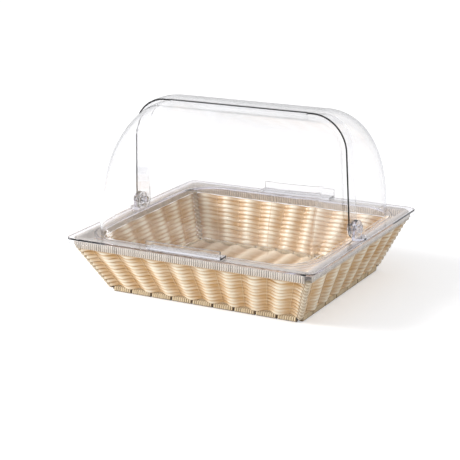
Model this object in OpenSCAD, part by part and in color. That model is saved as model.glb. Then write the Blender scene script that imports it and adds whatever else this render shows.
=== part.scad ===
// Countertop bread display bin: a woven basket on a wire frame, under a clear
// two-part cover whose halves roll about one axis.
// Origin: middle of the footprint, on the table. +X right, -Y front, +Z up.

/* [Basket] */
// Width of the basket's foot, outside
foot_w = 318; // [280:1:340]
// Depth of the basket's foot, outside
foot_d = 264; // [230:1:290]
// Height of the wrapped foot
foot_h = 9; // [8:0.5:12]
// Thickness of the wrapped foot
foot_t = 8; // [7:0.5:10]
// Height of the wrapped rim
rim_h = 14; // [10:0.5:18]
// Thickness of the wrapped rim
rim_t = 9; // [8:0.5:12]
// Height of the basket from the table to the top of its rim
basket_h = 87.5; // [75:0.5:120]

/* [Weave] */
// Thickness of a woven wall, crest to crest
wall_t = 8; // [7:0.1:8.4]
// Height of one woven row, up the wall
row_pitch = 6.6; // [4.5:0.1:9]
// Thickness of the woven floor
floor_t = 6; // [5:0.5:8]
// Height of the floor's underside over the table
floor_z = 2.5; // [1:0.5:4]
// Wall cells on the front and on the rear
cells_x = 9; // [6:1:12]
// Wall cells on each side
cells_y = 7; // [5:1:10]
// Diameter of a wall stake
stake_d = 3; // [2:0.1:3.6]
// Distance of a wall stake's axis from the middle of its wall
stake_off = 0.5; // [0.3:0.1:1]

/* [Wires and posts] */
// Diameter of the rim's wire hoop
rim_wire_d = 5; // [3:0.1:6]
// Diameter of the foot's wire hoop
foot_wire_d = 4; // [3:0.1:5]
// Diameter of a wrapped corner post
post_d = 8; // [6:0.5:9]
// Diameter of the wire inside a corner post
post_wire_d = 4; // [3:0.1:4.5]
// Radius of the wire hoops at their corners
hoop_corner_r = 7; // [5.5:0.5:12]
// Length of bare wire that shows at each corner
bare_corner = 10.5; // [10.5:0.5:16]

/* [Cover frame] */
// Width of the clear frame, outside
frame_w = 400; // [396:1:420]
// Depth of the clear frame, outside
frame_d = 360; // [356:1:380]
// Thickness of the flange
flange_t = 3; // [2:0.5:4]
// Distance from the frame's outer edge in to the basket's rim
rim_inset = 6.5; // [5:0.5:8]
// Width of the flange, from its edge to the opening
flange_w = 24; // [23:0.5:25]
// Height of the skirt, over the flange's thickness and below it
skirt_h = 8; // [6:0.5:14]
// Thickness of the skirt and of the locating rib
skirt_t = 2.2; // [1.5:0.1:3]
// Radius of the frame's outer corners
frame_corner_r = 12; // [6:1:30]
// Radius of the opening's corners
opening_corner_r = 54; // [20:1:70]
// Depth of the locating rib below the flange
rib_h = 5; // [3:0.5:8]

/* [Rolling shells] */
// Distance from the frame's rear edge in to the rear shell
shell_inset = 18.5; // [17:0.5:22]
// Distance from the frame's side edge in to the rear shell, at the pivot axis
shell_side_inset = 19.5; // [19:0.5:22]
// Wall thickness of both shells
shell_t = 2.5; // [2:0.1:3]
// Radial step from the rear shell's outside to the front shell's outside
shell_step = 7; // [6.5:0.1:8]
// Sideways step from the rear shell's ear to the front shell's ear
ear_step = 5; // [4.8:0.1:6]
// Sideways draft of the shells' walls, per millimetre of radius
shell_draft = 0.04; // [0.01:0.01:0.07]
// Radius between a shell's crown and its side wall
shell_corner_r = 54; // [30:1:60]
// Distance from the pivot axis to a shell's upright edge and lower edge
ear_r = 15; // [14.5:0.1:15]
// Height of the pivot axis over the flange
pivot_h = 15.5; // [15.5:0.1:20]
// Distance of the pivot axis in front of the frame's middle
pivot_forward = 4; // [0:0.5:8]
// Width of the lip on the rear shell's crown edge
lip_w = 225; // [100:1:230]
// Length of that lip, back from the edge
lip_l = 4; // [2:0.5:8]
// Depth of that lip below the shell
lip_h = 2; // [1:0.5:2.5]

/* [Handles] */
// Width of a handle
handle_w = 120; // [60:1:160]
// Height of a handle's upturned lip, from the ledge's underside
handle_h = 13; // [8:0.5:20]
// Thickness of the handle's ledge
ledge_t = 3; // [2:0.5:4]
// Thickness of the handle's upturned lip
grip_t = 2.5; // [2:0.5:4]

/* [Pivots] */
// Diameter of the ear bosses and of the bracket's round head
boss_d = 24; // [20:0.5:24.5]
// Thickness of an ear boss
boss_t = 4; // [3.5:0.1:4.2]
// Diameter of the pivot pin
pin_d = 6; // [5:0.5:8]
// Diameter of the pin's head
pin_head_d = 11; // [9:0.5:14]
// Thickness of the pin's head
pin_head_t = 2.5; // [2:0.5:4]
// Thickness of a bracket's lug
lug_t = 5; // [4:0.5:6]
// Thickness of a bracket's tongue foot
tongue_t = 3; // [2:0.5:4]
// Distance from the tongue's round end to the frame's outer edge
tongue_inset = 1; // [0.5:0.5:3]
// Diameter of the pin's push-on cap
cap_d = 12; // [10:0.5:14]
// Thickness of the pin's push-on cap, round the pin
cap_t = 3; // [2:0.5:4]
// Thickness of the cap's end, over the pin
cap_end_t = 1.5; // [1:0.5:3]
// Diameter of the washer between the ears
washer_d = 20; // [14:0.5:22]

/* [Clearances] */
// Radial clearance of the pin in the ears
pin_clear = 0.1; // [0.05:0.05:0.2]
// Gap between a shell's lower edge or handle and the flange
rest_gap = 0.4; // [0.3:0.05:0.5]
// Gap between a wire and the wrap or weave round it
wire_gap = 0.1; // [0.05:0.05:0.3]
// Gap between the ends of woven walls and the corner posts
weave_gap = 0.8; // [0.6:0.1:2]
// Gap between the ends of a corner post's wire and the hoops
post_gap = 0.6; // [0.5:0.1:1.5]
// Gap between the frame's locating rib and the basket's rim
rib_gap = 1; // [0.5:0.1:2]
// Gap between pieces that are bonded or that turn face to face
seat_gap = 0.1; // [0.05:0.05:0.3]

/* [Hidden] */
$fn = 96;
overlap = 0.01;
cut = 1;

// Heights
rim_z = basket_h - rim_h;
flange_z = basket_h + flange_t;
pivot_z = flange_z + pivot_h;
pivot_y = -pivot_forward;
rim_wire_z = basket_h - rim_h / 2;
foot_wire_z = foot_h / 2;

// The basket's rim under the frame, outside
rim_w = frame_w - 2 * rim_inset;
rim_d = frame_d - 2 * rim_inset;

// The hoops' centre lines, as their distance from the middle
hoop_x0 = (foot_w - foot_t) / 2;
hoop_x1 = (rim_w - rim_t) / 2;
hoop_y0 = (foot_d - foot_t) / 2;
hoop_y1 = (rim_d - rim_t) / 2;

// A wall's mid-plane runs from hoop to hoop: its distance from the middle on the foot and below the rim
function between_hoops(foot, rim, z) = foot + (rim - foot) * (z - foot_wire_z) / (rim_wire_z - foot_wire_z);
wall_x0 = between_hoops(hoop_x0, hoop_x1, foot_h);
wall_x1 = between_hoops(hoop_x0, hoop_x1, rim_z);
wall_y0 = between_hoops(hoop_y0, hoop_y1, foot_h);
wall_y1 = between_hoops(hoop_y0, hoop_y1, rim_z);
wall_rise = rim_z - foot_h;
post_end = post_d / 2 + weave_gap;

// The rear shell's outside radius about the pivot axis, and its half-width there
shell_r = frame_d / 2 - pivot_y - shell_inset;
shell_half_w = frame_w / 2 - shell_side_inset;

// Stacking of the ears along the pivot axis, outwards
rear_boss_x = shell_half_w - shell_t / 2 - boss_t / 2;
front_boss_x = rear_boss_x - ear_step;
washer_t = ear_step - boss_t - 2 * seat_gap;
lug_x = rear_boss_x + boss_t + 2 * seat_gap;
cap_x = lug_x + lug_t + seat_gap;
pin_end = cap_x + cap_t - seat_gap;
front_r = shell_r - shell_step;
front_half_w = shell_half_w - ear_step;

// ---------- helpers ----------

// A straight round bar from point a to point b, or one with a few flat sides
module bar(a, b, d, sides = $fn) {
  v = b - a;
  flat = norm([v.x, v.y]);
  translate(a) rotate([0, atan2(flat, v.z), atan2(v.y, v.x)]) cylinder(d = d, h = norm(v), $fn = sides);
}

module rounded_rect(w, d, r) {
  translate([-w / 2 + r, -d / 2]) square([w - 2 * r, d]);
  translate([-w / 2, -d / 2 + r]) square([w, d - 2 * r]);
  for (sx = [-1, 1], sy = [-1, 1]) translate([sx * (w / 2 - r), sy * (d / 2 - r)]) circle(r);
}

// A closed wire hoop of w by d between its centre lines
module wire_hoop(w, d, wire_d, r) {
  for (s = [-1, 1]) {
    translate([-w / 2 + r, s * d / 2, 0]) rotate([0, 90, 0]) cylinder(d = wire_d, h = w - 2 * r);
    translate([s * w / 2, -d / 2 + r, 0]) rotate([-90, 0, 0]) cylinder(d = wire_d, h = d - 2 * r);
  }
  for (i = [0:3])
    translate([(i == 0 || i == 3 ? 1 : -1) * (w / 2 - r), (i < 2 ? 1 : -1) * (d / 2 - r), 0])
      rotate([0, 0, 90 * i]) rotate_extrude(angle = 90) translate([r, 0]) circle(d = wire_d);
}

// Moves a side piece drawn for the front (-Y) to the side that is named by a quarter turn
module at_side(turn) { rotate([0, 0, 90 * turn]) children(); }

// ---------- basket ----------

// One binding: a wrapped bar with softened edges and a bore for its wire
module binding(length, outside, z0, h, t, wire_d) {
  edge = t / 4;
  translate([0, -outside + t / 2, z0 + h / 2]) rotate([90, 0, 90])
    difference() {
      translate([0, 0, -length / 2]) linear_extrude(length) rounded_rect(t, h, edge);
      translate([0, 0, -length / 2 - cut]) cylinder(d = wire_d + 2 * wire_gap, h = length + 2 * cut);
    }
}

module rim_binding(length, outside) {
  color("#d8cdb8") binding(length - 2 * bare_corner, outside, rim_z, rim_h, rim_t, rim_wire_d);
}

module foot_binding(length, outside) {
  color("#cdb68c") binding(length - 2 * bare_corner, outside, 0, foot_h, foot_t, foot_wire_d);
}

module rim_hoop() {
  color("#8c8577") translate([0, 0, rim_wire_z])
    wire_hoop(2 * hoop_x1, 2 * hoop_y1, rim_wire_d, hoop_corner_r);
}

module foot_hoop() {
  color("#8c8577") translate([0, 0, foot_wire_z])
    wire_hoop(2 * hoop_x0, 2 * hoop_y0, foot_wire_d, hoop_corner_r);
}

// A corner post: a wire from hoop to hoop, wrapped between the foot and the rim
module corner_post() {
  foot = [hoop_x0, hoop_y0, foot_wire_z];
  rim = [hoop_x1, hoop_y1, rim_wire_z];
  along = (rim - foot) / norm(rim - foot);
  // The hoops' bends pass inside their corners, which brings the leaning wire's ends up or down
  bend = hoop_corner_r * (1 - sqrt(0.5)) * (along.x + along.y);
  bar(foot + along * (foot_wire_d / 2 + post_gap - bend), rim - along * (rim_wire_d / 2 + post_gap + bend),
      post_wire_d);
  tilt = post_d / 2 * norm([along.x, along.y]) + post_gap;
  bar(foot + along * (foot_h - foot_wire_z + tilt) / along.z,
      rim - along * (rim_wire_z - rim_z + tilt) / along.z, post_d);
}

module corner_posts() {
  color("#b9ae99") for (sx = [0, 1], sy = [0, 1]) mirror([sx, 0, 0]) mirror([0, sy, 0]) corner_post();
}

// Section of a wall: rows of strands up its slope as ridges, from foot_h to rim_z
module wall_section(foot_y, rim_y) {
  slope = norm([rim_y - foot_y, wall_rise]);
  rows = max(2, round(slope / row_pitch));
  lean = atan2(rim_y - foot_y, wall_rise);
  valley = wall_t / 5;
  crest = wall_t / 2;
  // One row, as half-thickness against its share of the row's height
  ridge = [[valley, 0], [crest, 0.25], [crest, 0.75]];
  edge = [for (i = [-1:rows], p = ridge) [p.x, (i + p.y) * slope / rows]];
  back = [for (i = [len(edge) - 1:-1:0]) [-edge[i].x, edge[i].y]];
  intersection() {
    translate([foot_y, foot_h]) rotate(-lean) polygon(concat(edge, back));
    translate([0, foot_h]) square([2 * rim_y, wall_rise]);
  }
}

// A stake's two ends: n counts half cells from the middle of its wall
function stake_point(n, cells, end_foot, end_rim, foot_y, rim_y, at_rim) =
  let (share = n / cells)
  at_rim ? [share * 2 * end_rim, -rim_y, rim_z] : [share * 2 * end_foot, -foot_y, foot_h];

// All stakes of one wall that stand at half-cell counts in list
module wall_stakes(list, cells, end_foot, end_rim, foot_y, rim_y, d, trim = 0, sides = $fn) {
  for (n = list) {
    a = stake_point(n, cells, end_foot, end_rim, foot_y, rim_y, false);
    b = stake_point(n, cells, end_foot, end_rim, foot_y, rim_y, true);
    step = (b - a) * (trim / (b - a).z);
    bar(a + step, b - step, d, sides);
  }
}

// Stakes that show outside stand between cells; those that show inside stand in mid-cell
function outer_counts(cells) = [for (i = [1:cells - 1]) i - cells / 2];
function inner_counts(cells) = [for (i = [0:cells - 1]) i + 0.5 - cells / 2];

module wall_side_stakes(outside, d, trim) {
  s = outside ? stake_off : -stake_off;
  for (turn = [0, 2]) at_side(turn)
    wall_stakes(outside ? outer_counts(cells_x) : inner_counts(cells_x), cells_x,
                wall_x0, wall_x1, wall_y0 + s, wall_y1 + s, d, trim);
  for (turn = [1, 3]) at_side(turn)
    wall_stakes(outside ? outer_counts(cells_y) : inner_counts(cells_y), cells_y,
                wall_y0, wall_y1, wall_x0 + s, wall_x1 + s, d, trim);
}

module outer_stakes() { color("#c9a878") wall_side_stakes(true, stake_d, stake_d / 2); }

module inner_stakes() { color("#b98f56") wall_side_stakes(false, stake_d, stake_d / 2); }

// One woven wall, drawn at the front, with grooves for its stakes
module woven_wall(cells, end_foot, end_rim, foot_y, rim_y) {
  foot_x = end_foot - post_end;
  rim_x = end_rim - post_end;
  groove_sides = 8;
  groove_d = (stake_d + 2 * wire_gap) / cos(180 / groove_sides);
  color("#e3c48f") difference() {
    intersection() {
      rotate([90, 0, -90]) translate([0, 0, -rim_x]) linear_extrude(2 * rim_x) wall_section(foot_y, rim_y);
      rotate([90, 0, 0]) linear_extrude(2 * rim_y)
        polygon([[-foot_x, foot_h], [foot_x, foot_h], [rim_x, rim_z], [-rim_x, rim_z]]);
    }
    wall_stakes(outer_counts(cells), cells, end_foot, end_rim, foot_y + stake_off, rim_y + stake_off,
                groove_d, -cut, groove_sides);
    wall_stakes(inner_counts(cells), cells, end_foot, end_rim, foot_y - stake_off, rim_y - stake_off,
                groove_d, -cut, groove_sides);
  }
}

module front_weave() { at_side(0) woven_wall(cells_x, wall_x0, wall_x1, wall_y0, wall_y1); }
module rear_weave() { at_side(2) woven_wall(cells_x, wall_x0, wall_x1, wall_y0, wall_y1); }
module right_weave() { at_side(1) woven_wall(cells_y, wall_y0, wall_y1, wall_x0, wall_x1); }
module left_weave() { at_side(3) woven_wall(cells_y, wall_y0, wall_y1, wall_x0, wall_x1); }

// The floor fills the foot; its stakes run front to rear inside it
floor_w = foot_w - 2 * foot_t - 2 * weave_gap;
floor_d = foot_d - 2 * foot_t - 2 * weave_gap;
function floor_stake_x() = [for (i = [1:cells_x - 1]) (i - cells_x / 2) * floor_w / cells_x];

module floor_stakes() {
  color("#b98f56") for (x = floor_stake_x())
    translate([x, -floor_d / 2, floor_z + floor_t / 2]) rotate([-90, 0, 0])
      cylinder(d = stake_d, h = floor_d);
}

module floor_weave() {
  rows = round(floor_d / row_pitch);
  pitch = floor_d / rows;
  color("#ddc39a") difference() {
    rotate([90, 0, 90]) translate([0, 0, -floor_w / 2]) linear_extrude(floor_w) intersection() {
      union() {
        translate([-floor_d / 2, floor_z + floor_t / 6]) square([floor_d, floor_t * 2 / 3]);
        for (i = [0:rows - 1])
          translate([(i + 0.5) * pitch - floor_d / 2, floor_z + floor_t / 2]) circle(d = floor_t);
      }
      translate([-floor_d / 2, 0]) square([floor_d, floor_z + floor_t]);
    }
    for (x = floor_stake_x())
      translate([x, -floor_d / 2 - cut, floor_z + floor_t / 2]) rotate([-90, 0, 0])
        cylinder(d = stake_d + 2 * wire_gap, h = floor_d + 2 * cut);
  }
}

module front_rim_binding() { at_side(0) rim_binding(rim_w, rim_d / 2); }
module rear_rim_binding() { at_side(2) rim_binding(rim_w, rim_d / 2); }
module right_rim_binding() { at_side(1) rim_binding(rim_d, rim_w / 2); }
module left_rim_binding() { at_side(3) rim_binding(rim_d, rim_w / 2); }
module front_foot_binding() { at_side(0) foot_binding(foot_w, foot_d / 2); }
module rear_foot_binding() { at_side(2) foot_binding(foot_w, foot_d / 2); }
module right_foot_binding() { at_side(1) foot_binding(foot_d, foot_w / 2); }
module left_foot_binding() { at_side(3) foot_binding(foot_d, foot_w / 2); }

// ---------- cover frame ----------

module ring(w, d, r, t, h) {
  linear_extrude(h) difference() {
    rounded_rect(w, d, r);
    rounded_rect(w - 2 * t, d - 2 * t, r - t);
  }
}

module cover_frame() {
  rib_w = rim_w - 2 * (rim_t + rib_gap);
  rib_d = rim_d - 2 * (rim_t + rib_gap);
  color("#dfe6f0") {
    translate([0, 0, basket_h]) linear_extrude(flange_t) difference() {
      rounded_rect(frame_w, frame_d, frame_corner_r);
      rounded_rect(frame_w - 2 * flange_w, frame_d - 2 * flange_w, opening_corner_r);
    }
    translate([0, 0, flange_z - skirt_h])
      ring(frame_w, frame_d, frame_corner_r, skirt_t, skirt_h - overlap);
    translate([0, 0, basket_h - rib_h]) ring(rib_w, rib_d, opening_corner_r, skirt_t, rib_h + overlap);
  }
}

// A bracket at the right: a round-ended tongue on the flange and a round-headed lug
module bracket() {
  tongue_x = frame_w / 2 - tongue_inset - boss_d / 2;
  color("#cfd6e2") difference() {
    union() {
      intersection() {
        translate([tongue_x, pivot_y, flange_z]) cylinder(d = boss_d, h = tongue_t);
        translate([lug_x, pivot_y - boss_d / 2, flange_z]) cube([boss_d, boss_d, tongue_t]);
      }
      translate([lug_x, pivot_y - boss_d / 2, flange_z]) cube([lug_t, boss_d, pivot_h]);
      translate([lug_x, pivot_y, pivot_z]) rotate([0, 90, 0]) cylinder(d = boss_d, h = lug_t);
    }
    translate([lug_x - cut, pivot_y, pivot_z]) rotate([0, 90, 0])
      cylinder(d = pin_d + 2 * pin_clear, h = lug_t + 2 * cut);
  }
}

module right_pivot_bracket() { bracket(); }
module left_pivot_bracket() { mirror([1, 0, 0]) bracket(); }

module pivot_pin() {
  color("#c4cad6") translate([front_boss_x - seat_gap, pivot_y, pivot_z]) rotate([0, 90, 0]) {
    translate([0, 0, -pin_head_t]) cylinder(d = pin_head_d, h = pin_head_t);
    cylinder(d = pin_d, h = pin_end - front_boss_x + seat_gap);
  }
}

module right_pivot_pin() { pivot_pin(); }
module left_pivot_pin() { mirror([1, 0, 0]) pivot_pin(); }

module pin_cap() {
  color("#d9dee8") translate([cap_x, pivot_y, pivot_z]) rotate([0, 90, 0]) difference() {
    cylinder(d = cap_d, h = cap_t + cap_end_t);
    translate([0, 0, -cut]) cylinder(d = pin_d + 2 * pin_clear, h = cap_t + cut);
  }
}

module right_pin_cap() { pin_cap(); }
module left_pin_cap() { mirror([1, 0, 0]) pin_cap(); }

module ear_washer() {
  color("#d9dee8") translate([front_boss_x + boss_t + seat_gap, pivot_y, pivot_z]) rotate([0, 90, 0])
    difference() {
      cylinder(d = washer_d, h = washer_t);
      translate([0, 0, -cut]) cylinder(d = pin_d + 2 * pin_clear, h = washer_t + 2 * cut);
    }
}

module right_ear_washer() { ear_washer(); }
module left_ear_washer() { mirror([1, 0, 0]) ear_washer(); }

// ---------- rolling shells ----------

// Half section of a drum, as radius against distance along the pivot axis
module drum_section(r, half_w, corner_r) {
  n = sqrt(1 + shell_draft * shell_draft);
  cx = r - corner_r;
  cy = half_w - shell_draft * cx - corner_r * n;
  tx = cx + corner_r * shell_draft / n;
  ty = cy + corner_r / n;
  polygon([[0, -half_w], [tx, -ty], [cx, -cy], [cx, cy], [tx, ty], [0, half_w]]);
  translate([0, -cy]) square([r, 2 * cy]);
  for (s = [-1, 1]) translate([cx, s * cy]) circle(corner_r, $fn = 128);
}

module drum(r, half_w, corner_r) {
  rotate([0, 90, 0]) rotate_extrude($fn = 180) intersection() {
    drum_section(r, half_w, corner_r);
    translate([0, -half_w]) square([r, 2 * half_w]);
  }
}

// What the front shell keeps of its drum, seen from the right with its front to the left
module shell_outline() {
  reach = 2 * shell_r;
  circle(ear_r);
  translate([-reach, -ear_r]) square([reach, reach]);
  translate([-overlap, 0]) square([ear_r + overlap, reach]);
}

// A shell about the pivot axis: rear = 0 keeps the drum's front, rear = 1 keeps its rear
module shell(rear, r, half_w, boss_x) {
  corner_r = shell_corner_r - (shell_r - r);
  difference() {
    union() {
      intersection() {
        difference() {
          drum(r, half_w, corner_r);
          drum(r - shell_t, half_w - shell_t, corner_r - shell_t);
        }
        rotate([90, 0, 90]) translate([0, 0, -half_w - cut]) linear_extrude(2 * (half_w + cut))
          mirror([rear, 0]) shell_outline();
      }
      for (side = [0, 1]) mirror([side, 0, 0])
        translate([boss_x, 0, 0]) rotate([0, 90, 0]) cylinder(d = boss_d, h = boss_t);
    }
    for (side = [0, 1]) mirror([side, 0, 0])
      translate([boss_x - cut, 0, 0]) rotate([0, 90, 0])
        cylinder(d = pin_d + 2 * pin_clear, h = boss_t + 2 * cut);
  }
}

module at_pivot() { translate([0, pivot_y, pivot_z]) children(); }

module front_shell() {
  color("#e6ecf5") at_pivot() shell(0, front_r, front_half_w, front_boss_x);
}

module rear_shell() {
  color("#dde5f1") at_pivot() {
    shell(1, shell_r, shell_half_w, rear_boss_x);
    crown_lip();
  }
}

// The lip thickens the crown edge on its inside
module crown_lip() {
  rotate([0, 90, 0]) translate([0, 0, -lip_w / 2]) linear_extrude(lip_w)
    rotate(180) intersection() {
      difference() {
        circle(shell_r - shell_t / 2, $fn = 180);
        circle(shell_r - shell_t - lip_h, $fn = 180);
      }
      translate([0, ear_r - lip_l]) square([shell_r, lip_l]);
    }
}

// A handle, drawn for the front: a ledge bonded to the shell, with an upturned lip
module handle(r, reach) {
  foot = flange_z + rest_gap - pivot_z;
  difference() {
    translate([-handle_w / 2, 0, 0]) rotate([90, 0, 90]) linear_extrude(handle_w)
      polygon([[-reach, foot], [-r + ear_r, foot], [-r + ear_r, foot + ledge_t],
               [-reach + grip_t, foot + ledge_t], [-reach + grip_t, foot + handle_h],
               [-reach, foot + handle_h]]);
    rotate([0, 90, 0]) translate([0, 0, -handle_w]) cylinder(r = r + seat_gap, h = 2 * handle_w, $fn = 180);
  }
}

module front_handle() {
  color("#c9d3ee") at_pivot() handle(front_r, frame_d / 2 + pivot_y);
}

module rear_handle() {
  color("#c9d3ee") at_pivot() mirror([0, 1, 0]) handle(shell_r, frame_d / 2 - pivot_y);
}

rim_hoop();
foot_hoop();
corner_posts();
outer_stakes();
inner_stakes();
floor_stakes();
front_weave();
rear_weave();
left_weave();
right_weave();
floor_weave();
front_rim_binding();
rear_rim_binding();
left_rim_binding();
right_rim_binding();
front_foot_binding();
rear_foot_binding();
left_foot_binding();
right_foot_binding();
cover_frame();
left_pivot_bracket();
right_pivot_bracket();
front_shell();
front_handle();
rear_shell();
rear_handle();
left_pivot_pin();
right_pivot_pin();
left_pin_cap();
right_pin_cap();
left_ear_washer();
right_ear_washer();
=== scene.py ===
"""Dresses the countertop bread display bin: woven strands, wrapped bindings, wires and clear cover.

Every size is in metres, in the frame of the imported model: +X right, -Y front, +Z up, table at Z = 0.
"""
import logging
import math
from dataclasses import dataclass, field
from enum import Enum
from typing import Callable, Sequence

import bmesh
import bpy
import numpy as np
from mathutils import Matrix, Vector


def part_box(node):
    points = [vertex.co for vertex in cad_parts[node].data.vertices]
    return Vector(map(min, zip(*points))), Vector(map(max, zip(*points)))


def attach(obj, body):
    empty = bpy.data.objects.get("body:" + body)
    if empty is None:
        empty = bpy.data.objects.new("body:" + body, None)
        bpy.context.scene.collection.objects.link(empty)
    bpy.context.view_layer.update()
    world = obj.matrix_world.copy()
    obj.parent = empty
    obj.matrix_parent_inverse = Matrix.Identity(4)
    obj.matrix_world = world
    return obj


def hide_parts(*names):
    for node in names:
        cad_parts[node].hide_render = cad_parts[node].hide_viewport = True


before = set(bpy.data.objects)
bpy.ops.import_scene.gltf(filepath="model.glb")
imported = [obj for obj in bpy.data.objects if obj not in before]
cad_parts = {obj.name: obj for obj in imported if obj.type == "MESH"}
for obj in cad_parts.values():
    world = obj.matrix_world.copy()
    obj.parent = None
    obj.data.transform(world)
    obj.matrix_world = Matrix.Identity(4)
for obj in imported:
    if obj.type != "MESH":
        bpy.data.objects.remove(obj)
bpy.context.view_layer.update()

logging.basicConfig(level=logging.INFO, format="%(message)s")
LOG = logging.getLogger("bread_bin")

MM = 0.001
TURN = 2 * math.pi

# Signs of a rectangle's corners, counter-clockwise from +X +Y
CORNER_SIGNS = ((1, 1), (-1, 1), (-1, -1), (1, -1))
# The middle of a noise value and of a strand's tone, both from 0 to 1
MIDDLE = 0.5
# The drawn grain of a strand: length of one wave along it, and waves around it
GRAIN_LENGTH = 14 * MM
GRAIN_AROUND = 9
# The share of a wrapped turn that its strip fills
STRIP_SHARE = 0.8


# ---------------------------------------------------------------- shader helpers


class Shader:
    """A material's or a group's node tree, with short calls to add and join nodes."""

    def __init__(self, tree: bpy.types.NodeTree) -> None:
        """Keeps the tree and empties it."""
        self.tree = tree
        tree.nodes.clear()

    def node(self, kind: str, **values: object) -> bpy.types.Node:
        """Adds a node.

        Args:
            kind: The node's type name, without "ShaderNode".
            values: Settings of the node, such as its operation.

        Returns:
            The new node.
        """
        made = self.tree.nodes.new("ShaderNode" + kind)
        for name, value in values.items():
            setattr(made, name, value)
        return made

    def put(self, socket: bpy.types.NodeSocket, value: object) -> None:
        """Links another node's output to a socket, or sets its value.

        Args:
            socket: The input that takes the value.
            value: An output socket, a number or a colour.
        """
        if isinstance(value, bpy.types.NodeSocket):
            self.tree.links.new(value, socket)
        elif isinstance(value, tuple) and len(value) == 3 and len(socket.default_value) == 4:
            socket.default_value = (*value, 1.0)
        else:
            socket.default_value = value

    def math(self, operation: str, a: object, b: object = 0.0, clamp: bool = False) -> bpy.types.NodeSocket:
        """A math node on two values.

        Args:
            operation: The Math node's operation.
            a: First value or output.
            b: Second value or output.
            clamp: True keeps the result from 0 to 1.

        Returns:
            The result's output socket.
        """
        made = self.node("Math", operation=operation, use_clamp=clamp)
        self.put(made.inputs[0], a)
        self.put(made.inputs[1], b)
        return made.outputs[0]

    def mix(self, share: object, a: object, b: object) -> bpy.types.NodeSocket:
        """Mixes two colours.

        Args:
            share: How much of the second colour shows.
            a: First colour.
            b: Second colour.

        Returns:
            The mixed colour's output socket.
        """
        made = self.node("Mix", data_type="RGBA")
        self.put(made.inputs[0], share)
        self.put(made.inputs[6], a)
        self.put(made.inputs[7], b)
        return made.outputs[2]

    def attribute(self, name: str) -> bpy.types.Node:
        """Reads a named attribute of the mesh."""
        return self.node("Attribute", attribute_name=name)

    def noise(self, vector: object, scale: float, detail: float = 2.0) -> bpy.types.NodeSocket:
        """A noise value from 0 to 1.

        Args:
            vector: Where it is read.
            scale: Waves to the metre of that vector.
            detail: Octaves of the noise.

        Returns:
            The noise's value output.
        """
        made = self.node("TexNoise")
        self.put(made.inputs["Vector"], vector)
        made.inputs["Scale"].default_value = scale
        made.inputs["Detail"].default_value = detail
        return made.outputs["Fac"]

    def from_middle(self, value: object, gain: object) -> bpy.types.NodeSocket:
        """How far a value lies from the middle, times a gain."""
        return self.math("MULTIPLY", self.math("SUBTRACT", value, MIDDLE), gain)

    def close(self, surface: bpy.types.NodeSocket) -> bpy.types.Node:
        """Joins a surface to a new material output.

        Args:
            surface: The finished surface's output.

        Returns:
            The material output's node.
        """
        out = self.node("OutputMaterial")
        self.put(out.inputs["Surface"], surface)
        return out


def new_material(name: str) -> tuple[bpy.types.Material, Shader]:
    """Starts a material with an empty node tree.

    Args:
        name: The material's name.

    Returns:
        The material and its shader helper.
    """
    made = bpy.data.materials.new(name)
    made.use_nodes = True
    return made, Shader(made.node_tree)


def new_group(
    name: str, inputs: dict[str, tuple[str, object]], outputs: dict[str, str]
) -> tuple[Shader, dict[str, bpy.types.NodeSocket]]:
    """Starts a shader node group.

    Args:
        name: The group's name.
        inputs: Socket type and default value of each input.
        outputs: Socket type of each output.

    Returns:
        The group's shader helper, and its input sockets by name.
    """
    tree = bpy.data.node_groups.new(name, "ShaderNodeTree")
    for label, (kind, value) in inputs.items():
        socket = tree.interface.new_socket(label, in_out="INPUT", socket_type=kind)
        socket.default_value = value
    for label, kind in outputs.items():
        tree.interface.new_socket(label, in_out="OUTPUT", socket_type=kind)
    shader = Shader(tree)
    entry = tree.nodes.new("NodeGroupInput")
    return shader, {label: entry.outputs[label] for label in inputs}


def close_group(shader: Shader, results: dict[str, bpy.types.NodeSocket]) -> bpy.types.NodeTree:
    """Joins a group's results to its outputs.

    Args:
        shader: The group's shader helper.
        results: What each output shows.

    Returns:
        The finished group.
    """
    leave = shader.tree.nodes.new("NodeGroupOutput")
    for label, socket in results.items():
        shader.tree.links.new(socket, leave.inputs[label])
    return shader.tree


COLOR, VALUE = "NodeSocketColor", "NodeSocketFloat"


def strand_tone() -> bpy.types.NodeTree:
    """Colour, height and gloss of extruded strand: drawn grain along it, tone from strand to strand, and
    the painted highlight and shade that the crest attribute carries.

    Returns:
        The node group. It reads the mesh attributes grain, strand and crest.
    """
    shader, ports = new_group(
        "strand_tone",
        {
            "Light": (COLOR, (0.8, 0.6, 0.4, 1)),
            "Deep": (COLOR, (0.5, 0.3, 0.15, 1)),
            "Crest gain": (VALUE, 0.4),
            "Strand gain": (VALUE, 0.5),
        },
        {"Color": COLOR, "Height": VALUE, "Roughness": VALUE},
    )
    base_share, streak_gain, blotch_gain = 0.12, 0.9, 0.9
    rough_low, rough_span = 0.27, 0.22
    grain = shader.attribute("grain").outputs["Vector"]
    fine = shader.noise(grain, 1.0, 3.0)
    wander = shader.noise(grain, 0.18, 2.0)
    tone = shader.attribute("strand").outputs["Fac"]
    crest = shader.attribute("crest").outputs["Fac"]
    # painted light: the crest attribute lightens bulges and ridges and darkens strand edges, dips and
    # grooves, as painted highlight and shade
    lift = shader.math("MULTIPLY", crest, ports["Crest gain"])
    drift = shader.from_middle(tone, ports["Strand gain"])
    streak = shader.from_middle(fine, streak_gain)
    blotch = shader.from_middle(wander, blotch_gain)
    share = shader.math("ADD", shader.math("ADD", lift, drift), shader.math("ADD", streak, blotch))
    share = shader.math("ADD", share, base_share, clamp=True)
    color = shader.mix(share, ports["Deep"], ports["Light"])
    rough = shader.math("ADD", shader.math("MULTIPLY", fine, rough_span), rough_low)
    return close_group(shader, {"Color": color, "Height": fine, "Roughness": rough})


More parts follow.
